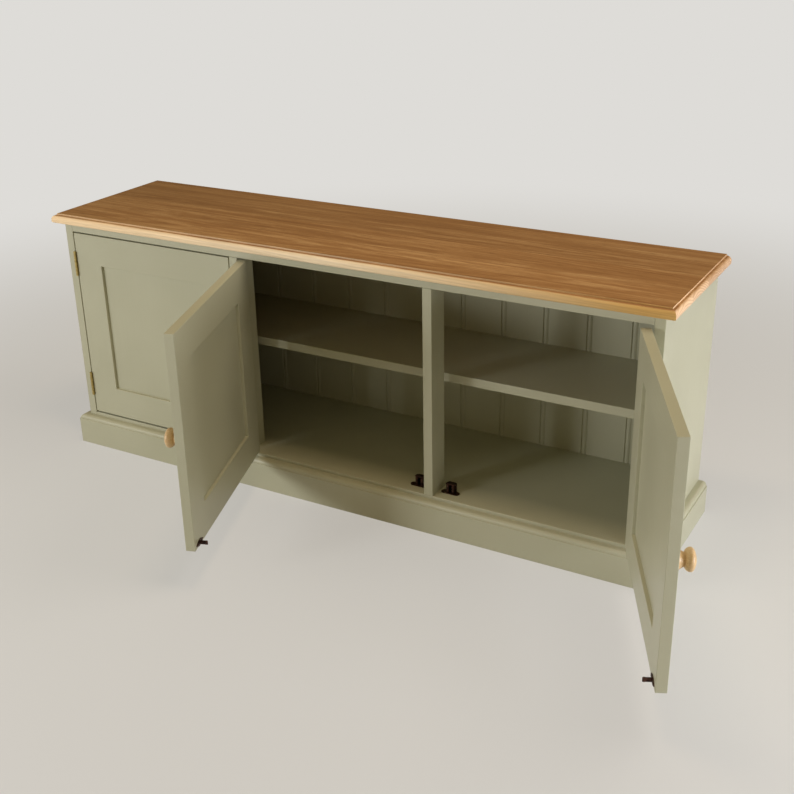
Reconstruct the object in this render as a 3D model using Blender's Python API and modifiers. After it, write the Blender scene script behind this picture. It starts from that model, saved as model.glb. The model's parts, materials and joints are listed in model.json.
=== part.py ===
# Low painted sideboard with a moulded oak top and three inset frame-and-panel doors.
# Units are metres. X runs along the front to the right, Y to the back, Z up.
# The origin is on the ground, in the middle of the carcass.

import math

import bmesh
import bpy
from mathutils import Matrix, Vector

# Carcass
CARCASS_WIDTH = 1.455
CARCASS_DEPTH = 0.349
TOTAL_HEIGHT = 0.591
SIDE_THICKNESS = 0.021
POST_WIDTH = 0.021
POST_DEPTH = 0.0565
TOP_RAIL_HEIGHT = 0.020
BACK_RAIL_DEPTH = 0.045
FLOOR_HEIGHT = 0.0817
FLOOR_THICKNESS = 0.020
BASE_RAIL_THICKNESS = 0.021
BEARER_WIDTH = 0.045
ARRIS = 0.0012

# Oak top
TOP_THICKNESS = 0.0215
TOP_SIDE_OVERHANG = 0.0225
TOP_FRONT_OVERHANG = 0.019
TOP_BACK_OVERHANG = 0.003
TOP_QUIRK = 0.003
TOP_OVOLO_REACH = 0.010
TOP_OVOLO = 0.0102
TOP_UNDER_ROUND = 0.0045

# Plinth moulding
PLINTH_REVEAL = 0.0077
PLINTH_THICKNESS = 0.0195
PLINTH_OVOLO = 0.009
PLINTH_QUIRK = 0.001
PLINTH_FILLET = 0.002

# Beaded back
BACK_THICKNESS = 0.011
BACK_REBATE = 0.010
BACK_GROUND_GAP = 0.012
BEAD_PITCH = 0.1027
BEAD_WIDTH = 0.011
BEAD_GROOVE_WIDTH = 0.003
BEAD_GROOVE_DEPTH = 0.0025

# Shelf
SHELF_HEIGHT = 0.3345
SHELF_THICKNESS = 0.020
SHELF_SETBACK = 0.030
SHELF_HOUSING = 0.006
SHELF_TONGUE = 0.010
BATTEN_SIZE = 0.020

# Doors
DOOR_THICKNESS = 0.020
DOOR_SIDE_GAP = 0.0024
DOOR_TOP_GAP = 0.003
DOOR_BOTTOM_GAP = 0.004
DOOR_STILE = 0.075
DOOR_RAIL = 0.073
PANEL_THICKNESS = 0.006
PANEL_GROOVE = 0.008
TENON_SHOULDER = 0.0024
MIDDLE_DOOR_ANGLE = math.radians(70.85)
RIGHT_DOOR_ANGLE = math.radians(115.35)

# Butt hinges
HINGE_HEIGHT = 0.060
HINGE_INSET = 0.045
HINGE_KNUCKLES = 5
BARREL_RADIUS = 0.003
PIN_RADIUS = 0.0014
PIN_PLAY = 0.0002
LEAF_THICKNESS = 0.0014
LEAF_SPACE = 0.0004
LEAF_MARGIN = 0.004
KNUCKLE_NECK_INSET = 0.00014
SCREW_HOLE_RADIUS = 0.0016
SCREW_HEAD_RADIUS = 0.0029
SCREW_END = 0.010
SCREW_EDGE = 0.0065
SCREW_STAGGER = 0.003

# Turned knobs
KNOB_DIAMETER = 0.040
KNOB_DOME_DEPTH = 0.0092
KNOB_HEAD_DEPTH = 0.0098
KNOB_NECK_DIAMETER = 0.0235
KNOB_WAIST_DEPTH = 0.0105
KNOB_FLARE = 1.2
KNOB_FOOT_DIAMETER = 0.036
KNOB_FOOT_DEPTH = 0.003

# Double roller catches and their strikes
STRIKE_SIDE_EDGE = 0.006
STRIKE_LOWER_EDGE = 0.0018
STRIKE_LENGTH = 0.038
STRIKE_HEIGHT = 0.012
STRIKE_PLATE = 0.0015
TONGUE_LENGTH = 0.016
TONGUE_HEIGHT = 0.008
TONGUE_NECK = 0.0026
TONGUE_HEAD = 0.0038
TONGUE_HEAD_LENGTH = 0.0064
TONGUE_ROLLER_PLAY = 0.0008
TONGUE_SLOT_PLAY = 0.0018
TONGUE_END_ROOM = 0.005
ROLLER_DIAMETER = 0.007
ROLLER_TRAVEL = 0.0015
CATCH_SIDE_WALL = 0.0008
CATCH_EAR = 0.0095
CATCH_BASE_DEPTH = 0.015
CATCH_PLATE = 0.0016
CATCH_HEAD_ROOM = 0.003

# Clearances and mesh settings
FIT = 0.0003
CUT_MARGIN = 0.005
ARC_STEPS = 6
ROUND_STEPS = 16
SCREW_STEPS = 10
KNOB_STEPS = 24
ARRIS_STEPS = 2
SHARP_ANGLE = math.radians(32)
WELD = 0.000005

# Places worked out from the sizes above
FRONT = -CARCASS_DEPTH / 2
BACK = CARCASS_DEPTH / 2
BACK_FACE = BACK - BACK_THICKNESS
INNER_HALF = CARCASS_WIDTH / 2 - SIDE_THICKNESS
CARCASS_TOP = TOTAL_HEIGHT - TOP_THICKNESS - FIT
OPENING_TOP = CARCASS_TOP - TOP_RAIL_HEIGHT
OPENING_WIDTH = (2 * INNER_HALF - 2 * POST_WIDTH) / 3
FLOOR_UNDERSIDE = FLOOR_HEIGHT - FLOOR_THICKNESS
PLINTH_HEIGHT = FLOOR_HEIGHT - PLINTH_REVEAL
SHELF_UNDERSIDE = SHELF_HEIGHT - SHELF_THICKNESS
SHELF_FRONT = FRONT + POST_DEPTH + SHELF_SETBACK

DOOR_WIDTH = OPENING_WIDTH - 2 * DOOR_SIDE_GAP
DOOR_BOTTOM = FLOOR_HEIGHT + DOOR_BOTTOM_GAP
DOOR_TOP = OPENING_TOP - DOOR_TOP_GAP
PIN_SETBACK = BARREL_RADIUS + FIT
HINGE_EDGE = DOOR_SIDE_GAP / 2
FREE_EDGE = HINGE_EDGE + DOOR_WIDTH
DOOR_INSIDE = PIN_SETBACK + DOOR_THICKNESS
LEAF_DEPTH = DOOR_THICKNESS - LEAF_MARGIN
LEAF_OUTER = LEAF_SPACE / 2 + LEAF_THICKNESS
MORTISE_DEPTH = LEAF_OUTER - HINGE_EDGE + FIT
UPPER_HINGE = DOOR_TOP - HINGE_INSET - HINGE_HEIGHT / 2
LOWER_HINGE = DOOR_BOTTOM + HINGE_INSET + HINGE_HEIGHT / 2
HINGE_PLACES = {"upper": UPPER_HINGE, "lower": LOWER_HINGE}

STRIKE_X = FREE_EDGE - STRIKE_SIDE_EDGE - STRIKE_LENGTH / 2
STRIKE_Z = DOOR_BOTTOM + STRIKE_LOWER_EDGE + STRIKE_HEIGHT / 2
STRIKE_BACK = DOOR_INSIDE + FIT + STRIKE_PLATE
TONGUE_LOW = STRIKE_Z - TONGUE_HEIGHT / 2
TONGUE_HIGH = STRIKE_Z + TONGUE_HEIGHT / 2
ROLLER_Y = STRIKE_BACK + TONGUE_LENGTH - TONGUE_HEAD_LENGTH
ROLLER_SPREAD = (TONGUE_HEAD + ROLLER_DIAMETER) / 2 + TONGUE_ROLLER_PLAY
ROLLER_LOW = FLOOR_HEIGHT + CATCH_PLATE + 2 * FIT
ROLLER_HIGH = TONGUE_HIGH + CATCH_HEAD_ROOM
CATCH_HALF = ROLLER_SPREAD + ROLLER_DIAMETER / 2 + ROLLER_TRAVEL + CATCH_SIDE_WALL
CATCH_SLOT_END = TONGUE_HEAD_LENGTH + TONGUE_END_ROOM

# Each opening from left to right: door name, hinge side (1 left, -1 right), angle at rest.
DOORS = [
    ("door_left", 1, 0.0),
    ("door_middle", 1, MIDDLE_DOOR_ANGLE),
    ("door_right", -1, RIGHT_DOOR_ANGLE),
]

PAINT = ("sage_paint", (0.355, 0.352, 0.262), 0.42, 0.0)
OAK = ("oiled_oak", (0.376, 0.202, 0.075), 0.38, 0.0)
BEECH = ("beech", (0.640, 0.410, 0.190), 0.40, 0.0)
BRASS = ("brass", (0.420, 0.320, 0.120), 0.38, 1.0)
BRONZE = ("bronzed_brass", (0.060, 0.042, 0.034), 0.40, 1.0)


def clear_scene():
    for item in list(bpy.data.objects):
        bpy.data.objects.remove(item, do_unlink=True)


def make_collection(name):
    group = bpy.data.collections.new(name)
    bpy.context.scene.collection.children.link(group)
    return group


def make_material(finish):
    name, colour, roughness, metallic = finish
    material = bpy.data.materials.get(name)
    if material is None:
        material = bpy.data.materials.new(name)
        material.use_nodes = True
        shader = material.node_tree.nodes["Principled BSDF"]
        shader.inputs["Base Color"].default_value = (*colour, 1.0)
        shader.inputs["Roughness"].default_value = roughness
        shader.inputs["Metallic"].default_value = metallic
    return material


def mesh_from(bm, name):
    bmesh.ops.recalc_face_normals(bm, faces=bm.faces)
    mesh = bpy.data.meshes.new(name)
    bm.to_mesh(mesh)
    bm.free()
    return mesh


# A box between two corners. Each rounded edge is named by its side of the box,
# such as (0, -1, 1) for the edge along X at the front and top.
def box_mesh(name, low, high, rounded=(), radius=ARRIS, steps=ARRIS_STEPS):
    low = Vector(low)
    high = Vector(high)
    bm = bmesh.new()
    bmesh.ops.create_cube(bm, size=2.0)
    edges = []
    for edge in bm.edges:
        middle = (edge.verts[0].co + edge.verts[1].co) / 2
        if tuple(round(value) for value in middle) in rounded:
            edges.append(edge)
    place = Matrix.Translation((low + high) / 2) @ Matrix.Diagonal((*((high - low) / 2), 1.0))
    bmesh.ops.transform(bm, matrix=place, verts=bm.verts)
    if edges:
        bmesh.ops.bevel(
            bm,
            geom=edges,
            offset=radius,
            segments=steps,
            profile=0.5,
            affect="EDGES",
        )
    return mesh_from(bm, name)


def cylinder_mesh(name, radius, low, high):
    bm = bmesh.new()
    bmesh.ops.create_cone(
        bm,
        cap_ends=True,
        segments=ROUND_STEPS,
        radius1=radius,
        radius2=radius,
        depth=high - low,
        matrix=Matrix.Translation((0, 0, (low + high) / 2)),
    )
    return mesh_from(bm, name)


# A flat outline drawn out along one axis. The outline is in (Y, Z), (X, Z) or (X, Y).
def drawn_mesh(name, outline, axis, start, end):
    curve = bpy.data.curves.new(name, "CURVE")
    curve.dimensions = "2D"
    curve.fill_mode = "BOTH"
    curve.extrude = abs(end - start) / 2
    spline = curve.splines.new("POLY")
    spline.points.add(len(outline) - 1)
    for point, (across, up) in zip(spline.points, outline):
        point.co = (across, up, 0.0, 1.0)
    spline.use_cyclic_u = True
    source = bpy.data.objects.new(name, curve)
    bpy.context.scene.collection.objects.link(source)
    turns = {
        "X": Matrix(((0, 0, 1), (1, 0, 0), (0, 1, 0))),
        "Y": Matrix(((1, 0, 0), (0, 0, -1), (0, 1, 0))),
        "Z": Matrix.Identity(3),
    }
    middle = Vector([(start + end) / 2 if letter == axis else 0.0 for letter in "XYZ"])
    depsgraph = bpy.context.evaluated_depsgraph_get()
    bm = bmesh.new()
    bm.from_mesh(bpy.data.meshes.new_from_object(source.evaluated_get(depsgraph)))
    bpy.data.objects.remove(source, do_unlink=True)
    bmesh.ops.remove_doubles(bm, verts=bm.verts, dist=WELD)
    bmesh.ops.transform(bm, matrix=turns[axis].to_4x4(), verts=bm.verts)
    bmesh.ops.translate(bm, vec=middle, verts=bm.verts)
    return mesh_from(bm, name)


def arc(centre, radius, start, end, steps=ARC_STEPS):
    angles = [start + (end - start) * step / steps for step in range(steps + 1)]
    return [(centre[0] + radius * math.cos(a), centre[1] + radius * math.sin(a)) for a in angles]


def mitred(mesh, corner, away):
    bm = bmesh.new()
    bm.from_mesh(mesh)
    everything = bm.verts[:] + bm.edges[:] + bm.faces[:]
    bmesh.ops.bisect_plane(bm, geom=everything, plane_co=corner, plane_no=away, clear_outer=True)
    rim = [edge for edge in bm.edges if edge.is_boundary]
    bmesh.ops.edgeloop_fill(bm, edges=rim)
    return mesh_from(bm, mesh.name)


def mirrored(mesh):
    copy = mesh.copy()
    copy.transform(Matrix.Diagonal((-1.0, 1.0, 1.0, 1.0)))
    copy.flip_normals()
    return copy


def place(name, mesh, finish, location=(0, 0, 0), parent=None):
    piece = bpy.data.objects.new(name, mesh)
    if not mesh.materials:
        mesh.materials.append(make_material(finish))
    mesh.shade_smooth()
    mesh.set_sharp_from_angle(angle=SHARP_ANGLE)
    piece.location = location
    piece.parent = parent
    parts.objects.link(piece)
    return piece


def combine(piece, mesh, operation):
    tool = bpy.data.objects.new(mesh.name, mesh)
    tool.display_type = "WIRE"
    tool.hide_render = True
    cutters.objects.link(tool)
    modifier = piece.modifiers.new(mesh.name, "BOOLEAN")
    modifier.operation = operation
    modifier.object = tool
    modifier.solver = "EXACT"


def cut(piece, mesh):
    combine(piece, mesh, "DIFFERENCE")


# A repeated piece made once: the base mesh with additions joined on and cuts taken out.
def shaped(name, base, additions=(), cuts=()):
    source = bpy.data.objects.new(name, base)
    parts.objects.link(source)
    for mesh in additions:
        combine(source, mesh, "UNION")
    for mesh in cuts:
        combine(source, mesh, "DIFFERENCE")
    depsgraph = bpy.context.evaluated_depsgraph_get()
    mesh = bpy.data.meshes.new_from_object(source.evaluated_get(depsgraph))
    mesh.name = name
    for modifier in source.modifiers:
        bpy.data.objects.remove(modifier.object, do_unlink=True)
    bpy.data.objects.remove(source, do_unlink=True)
    return mesh


def opening_edges(index):
    left = -INNER_HALF + index * (OPENING_WIDTH + POST_WIDTH)
    return left, left + OPENING_WIDTH


def pin_place(index, hand):
    left, right = opening_edges(index)
    return (left if hand > 0 else right) + hand * HINGE_EDGE


# Oak top

# The top edge is a square fillet over an ovolo that runs out on the face.
def moulding_cut():
    low = -TOP_QUIRK - TOP_OVOLO
    quarter = arc((TOP_OVOLO_REACH, low), TOP_OVOLO, math.pi / 2, math.pi)
    outside = [(-CUT_MARGIN, low), (-CUT_MARGIN, CUT_MARGIN), (TOP_OVOLO_REACH, CUT_MARGIN)]
    return outside + quarter


def build_top():
    half = CARCASS_WIDTH / 2 + TOP_SIDE_OVERHANG
    front = FRONT - TOP_FRONT_OVERHANG
    back = BACK + TOP_BACK_OVERHANG
    under = [(0, -1, -1), (-1, 0, -1), (1, 0, -1)]
    low = (-half, front, TOTAL_HEIGHT - TOP_THICKNESS)
    high = (half, back, TOTAL_HEIGHT)
    board = box_mesh("top_board", low, high, under, TOP_UNDER_ROUND, ARC_STEPS)
    top = place("top_board", board, OAK)
    profile = moulding_cut()
    along = [(front + u, TOTAL_HEIGHT + v) for u, v in profile]
    left = [(-half + u, TOTAL_HEIGHT + v) for u, v in profile]
    right = [(half - u, TOTAL_HEIGHT + v) for u, v in profile]
    spare = 2 * CUT_MARGIN
    cut(top, drawn_mesh("top_front_ovolo", along, "X", -half - spare, half + spare))
    cut(top, drawn_mesh("top_left_ovolo", left, "Y", front - spare, back + spare))
    cut(top, drawn_mesh("top_right_ovolo", right, "Y", front - spare, back + spare))


# Carcass boards

def hinge_mortises(piece, index, hand):
    left, right = opening_edges(index)
    edge = left if hand > 0 else right
    near, far = sorted((edge - hand * MORTISE_DEPTH, edge + hand * CUT_MARGIN))
    for label, height in HINGE_PLACES.items():
        low = (near, FRONT - CUT_MARGIN, height - HINGE_HEIGHT / 2 - FIT)
        high = (far, FRONT + LEAF_DEPTH + FIT, height + HINGE_HEIGHT / 2 + FIT)
        cut(piece, box_mesh(f"{piece.name}_{label}_mortise", low, high))


def build_sides():
    sides = []
    for name, hand in (("side_left", 1), ("side_right", -1)):
        outer = -hand * CARCASS_WIDTH / 2
        inner = -hand * INNER_HALF
        low_x, high_x = sorted((outer, inner))
        mesh = box_mesh(
            name,
            (low_x, FRONT, 0),
            (high_x, BACK, CARCASS_TOP),
            [(-hand, -1, 0), (hand, -1, 0), (-hand, 1, 0)],
        )
        side = place(name, mesh, PAINT)
        rebate = sorted((inner + hand * CUT_MARGIN, inner - hand * BACK_REBATE))
        housing = sorted((inner + hand * CUT_MARGIN, inner - hand * SHELF_HOUSING))
        rebate_low = (rebate[0], BACK_FACE - FIT, BACK_GROUND_GAP - FIT)
        rebate_high = (rebate[1], BACK + CUT_MARGIN, CARCASS_TOP + CUT_MARGIN)
        cut(side, box_mesh(f"{name}_back_rebate", rebate_low, rebate_high))
        housing_low = (housing[0], SHELF_FRONT - FIT, SHELF_UNDERSIDE - FIT)
        housing_high = (housing[1], BACK_FACE, SHELF_UNDERSIDE + SHELF_TONGUE + FIT)
        cut(side, box_mesh(f"{name}_shelf_housing", housing_low, housing_high))
        sides.append(side)
    return sides


def build_posts():
    posts = []
    for index, name in enumerate(("post_left", "post_right")):
        left = opening_edges(index)[1]
        low = (left, FRONT, FLOOR_HEIGHT + FIT)
        high = (left + POST_WIDTH, FRONT + POST_DEPTH, OPENING_TOP - FIT)
        corners = [(-1, -1, 0), (1, -1, 0), (-1, 1, 0), (1, 1, 0)]
        posts.append(place(name, box_mesh(name, low, high, corners), PAINT))
    return posts


# Each door hangs on the upright at its left or right.
def build_uprights():
    side_left, side_right = build_sides()
    uprights = [side_left, *build_posts(), side_right]
    for index, (door, hand, angle) in enumerate(DOORS):
        hinge_mortises(uprights[index if hand > 0 else index + 1], index, hand)


def build_boards():
    half = INNER_HALF - FIT
    behind = BACK_FACE - FIT
    under_floor = FLOOR_UNDERSIDE - FIT
    under_shelf = SHELF_UNDERSIDE - FIT
    rail_behind = FRONT + BASE_RAIL_THICKNESS
    rail_before = behind - BASE_RAIL_THICKNESS
    rail_back = FRONT + POST_DEPTH
    half_bearer = BEARER_WIDTH / 2
    above = (0, -1, 1)
    below = (0, -1, -1)
    boards = [
        ("floor_board", (-half, FRONT, FLOOR_UNDERSIDE), (half, behind, FLOOR_HEIGHT), [above]),
        ("rail_top_front", (-half, FRONT, OPENING_TOP), (half, rail_back, CARCASS_TOP), [below]),
        ("rail_top_back", (-half, behind - BACK_RAIL_DEPTH, OPENING_TOP), (half, behind, CARCASS_TOP), []),
        ("rail_base_front", (-half, FRONT, 0), (half, rail_behind, under_floor), []),
        ("rail_base_back", (-half, rail_before, 0), (half, behind, under_floor), []),
        (
            "bearer_base",
            (-half_bearer, rail_behind + FIT, 0),
            (half_bearer, rail_before - FIT, under_floor),
            [],
        ),
        (
            "batten_shelf",
            (-half, behind - BATTEN_SIZE, under_shelf - BATTEN_SIZE),
            (half, behind, under_shelf),
            [],
        ),
    ]
    for name, low, high, rounded in boards:
        place(name, box_mesh(name, low, high, rounded), PAINT)


# The lower half of each shelf end is a tongue in the side's housing, under a square shoulder.
def build_shelf():
    shoulder = INNER_HALF - FIT
    end = INNER_HALF + SHELF_HOUSING - FIT
    low = (-end, SHELF_FRONT, SHELF_UNDERSIDE)
    high = (end, BACK_FACE - FIT, SHELF_HEIGHT)
    shelf = place("shelf", box_mesh("shelf", low, high, [(0, -1, 1), (0, -1, -1)]), PAINT)
    for label, hand in (("left", -1), ("right", 1)):
        near, far = sorted((hand * shoulder, hand * (end + CUT_MARGIN)))
        notch_low = (near, SHELF_FRONT - CUT_MARGIN, SHELF_UNDERSIDE + SHELF_TONGUE)
        notch_high = (far, BACK_FACE, SHELF_HEIGHT + CUT_MARGIN)
        cut(shelf, box_mesh(f"shelf_{label}_shoulder", notch_low, notch_high))


# Beaded back: each joint shows a round bead between two V grooves.

def build_back():
    half = INNER_HALF + BACK_REBATE - FIT
    widest = INNER_HALF - BEAD_WIDTH / 2 - BEAD_GROOVE_WIDTH
    count = math.floor(widest / BEAD_PITCH + 0.5)
    radius = (BEAD_WIDTH ** 2 / 4 + BEAD_GROOVE_DEPTH ** 2) / (2 * BEAD_GROOVE_DEPTH)
    spread = math.asin(BEAD_WIDTH / 2 / radius)
    reach = (BEAD_WIDTH + BEAD_GROOVE_WIDTH) / 2
    front = []
    for step in range(-count, count):
        joint = (step + 0.5) * BEAD_PITCH
        front.append((joint - reach, BACK_FACE))
        front += arc((joint, BACK_FACE + radius), radius, 1.5 * math.pi - spread, 1.5 * math.pi + spread)
        front.append((joint + reach, BACK_FACE))
    outline = [(-half, BACK), (-half, BACK_FACE)] + front + [(half, BACK_FACE), (half, BACK)]
    place("back_panel", drawn_mesh("back_panel", outline, "Z", BACK_GROUND_GAP, CARCASS_TOP), PAINT)


# Plinth: a board with an ovolo and quirk along its top edge, mitred at the front corners.

def plinth_profile():
    shoulder = PLINTH_THICKNESS - PLINTH_FILLET
    rise = PLINTH_HEIGHT - PLINTH_OVOLO
    quarter = arc((shoulder - PLINTH_OVOLO, rise), PLINTH_OVOLO, 0.0, math.pi / 2)
    step = [(PLINTH_THICKNESS, rise - PLINTH_QUIRK), (shoulder, rise - PLINTH_QUIRK)]
    return [(0, 0), (PLINTH_THICKNESS, 0)] + step + quarter + [(0, PLINTH_HEIGHT)]


def build_plinth():
    profile = plinth_profile()
    side = CARCASS_WIDTH / 2 + FIT
    face = FRONT - FIT
    reach = side + PLINTH_THICKNESS + CUT_MARGIN
    ahead = face - PLINTH_THICKNESS - CUT_MARGIN
    run = drawn_mesh("plinth_front", [(face - u, v) for u, v in profile], "X", -reach, reach)
    for hand in (-1, 1):
        corner = Vector((hand * side, face, 0))
        away = Vector((hand, 1, 0)).normalized()
        run = mitred(run, corner - away * FIT / 2, away)
    place("plinth_front", run, PAINT)
    for name, hand in (("plinth_left", -1), ("plinth_right", 1)):
        outline = [(hand * (side + u), v) for u, v in profile]
        corner = Vector((hand * side, face, 0))
        away = Vector((-hand, -1, 0)).normalized()
        run = drawn_mesh(name, outline, "Y", ahead, BACK)
        place(name, mitred(run, corner - away * FIT / 2, away), PAINT)


# Doors, drawn closed and hinged at the left, with the hinge pin at X = 0 and Y = 0.

def stile_outline(edge, hand):
    face = PIN_SETBACK
    near = arc((ARRIS, face + ARRIS), ARRIS, math.pi, 1.5 * math.pi, ARRIS_STEPS)
    far = arc((ARRIS, DOOR_INSIDE - ARRIS), ARRIS, math.pi / 2, math.pi, ARRIS_STEPS)
    outline = near + [(DOOR_STILE, face), (DOOR_STILE, DOOR_INSIDE)] + far
    return [(edge + hand * u, v) for u, v in outline]


# The panel groove in a stile stops at the far edge of each tenon, so it doesn't show at the ends.
def stile_groove(edge, hand):
    middle = PIN_SETBACK + DOOR_THICKNESS / 2
    slot = PANEL_THICKNESS / 2 + FIT
    stop = TENON_SHOULDER - FIT
    bottom = edge + hand * (DOOR_STILE - PANEL_GROOVE)
    near, far = sorted((bottom, edge + hand * (DOOR_STILE + CUT_MARGIN)))
    low = (near, middle - slot, DOOR_BOTTOM + stop)
    high = (far, middle + slot, DOOR_TOP - stop)
    return box_mesh("stile_groove", low, high)


def rail_outline(edge, hand):
    face = PIN_SETBACK
    middle = face + DOOR_THICKNESS / 2
    slot = PANEL_THICKNESS / 2 + FIT
    near = arc((face + ARRIS, ARRIS), ARRIS, 1.5 * math.pi, math.pi, ARRIS_STEPS)
    far = arc((DOOR_INSIDE - ARRIS, ARRIS), ARRIS, 0.0, -math.pi / 2, ARRIS_STEPS)
    groove = [
        (middle - slot, DOOR_RAIL),
        (middle - slot, DOOR_RAIL - PANEL_GROOVE),
        (middle + slot, DOOR_RAIL - PANEL_GROOVE),
        (middle + slot, DOOR_RAIL),
    ]
    outline = near + [(face, DOOR_RAIL)] + groove + [(DOOR_INSIDE, DOOR_RAIL)] + far
    return [(v, edge + hand * u) for v, u in outline]


def stile_meshes():
    hinge_run = drawn_mesh("stile_hinge", stile_outline(HINGE_EDGE, 1), "Z", DOOR_BOTTOM, DOOR_TOP)
    free_run = drawn_mesh("stile_free", stile_outline(FREE_EDGE, -1), "Z", DOOR_BOTTOM, DOOR_TOP)
    hinge_cuts = [stile_groove(HINGE_EDGE, 1)]
    for label, height in HINGE_PLACES.items():
        low = (HINGE_EDGE - CUT_MARGIN, PIN_SETBACK - CUT_MARGIN, height - HINGE_HEIGHT / 2 - FIT)
        high = (
            HINGE_EDGE + MORTISE_DEPTH,
            PIN_SETBACK + LEAF_DEPTH + FIT,
            height + HINGE_HEIGHT / 2 + FIT,
        )
        hinge_cuts.append(box_mesh(f"stile_{label}_mortise", low, high))
    return {
        "stile_hinge": shaped("stile_hinge", hinge_run, cuts=hinge_cuts),
        "stile_free": shaped("stile_free", free_run, cuts=[stile_groove(FREE_EDGE, -1)]),
    }


def rail_meshes():
    start = HINGE_EDGE + DOOR_STILE + FIT
    end = FREE_EDGE - DOOR_STILE - FIT
    tenon = PANEL_GROOVE - 2 * FIT
    middle = PIN_SETBACK + DOOR_THICKNESS / 2
    meshes = {}
    for name, edge, hand in (("rail_top", DOOR_TOP, -1), ("rail_bottom", DOOR_BOTTOM, 1)):
        run = drawn_mesh(name, rail_outline(edge, hand), "X", start, end)
        heights = sorted((edge + hand * TENON_SHOULDER, edge + hand * (DOOR_RAIL - PANEL_GROOVE - FIT)))
        low = (start - tenon, middle - PANEL_THICKNESS / 2, heights[0])
        high = (end + tenon, middle + PANEL_THICKNESS / 2, heights[1])
        meshes[name] = shaped(name, run, additions=[box_mesh(f"{name}_tenons", low, high)])
    return meshes


def panel_mesh():
    tongue = PANEL_GROOVE - FIT
    middle = PIN_SETBACK + DOOR_THICKNESS / 2
    low = (
        HINGE_EDGE + DOOR_STILE - tongue,
        middle - PANEL_THICKNESS / 2,
        DOOR_BOTTOM + DOOR_RAIL - tongue,
    )
    high = (FREE_EDGE - DOOR_STILE + tongue, middle + PANEL_THICKNESS / 2, DOOR_TOP - DOOR_RAIL + tongue)
    return box_mesh("panel", low, high)


# Turned knob: a domed head on a full waist that flares to a broad foot against the door.

def knob_mesh():
    rim = KNOB_DIAMETER / 2
    neck = KNOB_NECK_DIAMETER / 2
    foot = KNOB_FOOT_DIAMETER / 2
    waist = KNOB_FOOT_DEPTH + KNOB_WAIST_DEPTH
    widest = waist + KNOB_HEAD_DEPTH
    points = []
    for step in range(ARC_STEPS + 1):
        turn = math.pi / 2 * step / ARC_STEPS
        points.append((rim * math.sin(turn), widest + KNOB_DOME_DEPTH * math.cos(turn)))
    for step in range(1, ARC_STEPS + 1):
        share = step / ARC_STEPS
        ease = share ** 2 * (3 - 2 * share)
        points.append((rim - (rim - neck) * ease, widest - KNOB_HEAD_DEPTH * share))
    for step in range(1, ARC_STEPS + 1):
        share = step / ARC_STEPS
        points.append((neck + (foot - neck) * share ** KNOB_FLARE, waist - KNOB_WAIST_DEPTH * share))
    points.append((foot, 0.0))
    points.append((0.0, 0.0))
    bm = bmesh.new()
    corners = [bm.verts.new((radius, 0.0, height)) for radius, height in points]
    for first, second in zip(corners, corners[1:]):
        bm.edges.new((first, second))
    profile = bpy.data.meshes.new("knob_profile")
    bm.to_mesh(profile)
    bm.free()
    source = bpy.data.objects.new("knob", profile)
    parts.objects.link(source)
    screw = source.modifiers.new("turn", "SCREW")
    screw.steps = KNOB_STEPS
    screw.render_steps = KNOB_STEPS
    screw.use_merge_vertices = True
    screw.merge_threshold = WELD
    depsgraph = bpy.context.evaluated_depsgraph_get()
    mesh = bpy.data.meshes.new_from_object(source.evaluated_get(depsgraph))
    bpy.data.objects.remove(source, do_unlink=True)
    stile_middle = FREE_EDGE - DOOR_STILE / 2
    turn_out = Matrix.Rotation(math.pi / 2, 4, "X")
    seat = (stile_middle, PIN_SETBACK - FIT, (DOOR_BOTTOM + DOOR_TOP) / 2)
    mesh.transform(Matrix.Translation(seat) @ turn_out)
    return mesh


# Butt hinge: two leaves whose knuckles take turns round one pin. The pin is fixed in the frame leaf.

def screw_holes(name, hand):
    slope = (SCREW_HEAD_RADIUS - SCREW_HOLE_RADIUS) / LEAF_THICKNESS
    depth = LEAF_THICKNESS + 2 * FIT
    holes = []
    for spot in (-1, 0, 1):
        row = PIN_SETBACK + LEAF_DEPTH - SCREW_EDGE - (0 if spot else SCREW_STAGGER)
        height = spot * (HINGE_HEIGHT / 2 - SCREW_END)
        centre = Vector((hand * (LEAF_SPACE / 2 + LEAF_OUTER) / 2, row, height))
        bm = bmesh.new()
        bmesh.ops.create_cone(
            bm,
            cap_ends=True,
            segments=SCREW_STEPS,
            radius1=SCREW_HEAD_RADIUS + slope * FIT,
            radius2=SCREW_HOLE_RADIUS - slope * FIT,
            depth=depth,
            matrix=Matrix.Translation(centre) @ Matrix.Rotation(hand * math.pi / 2, 4, "Y"),
        )
        holes.append(mesh_from(bm, f"{name}_screw_hole_{spot + 1}"))
    return holes


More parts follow.
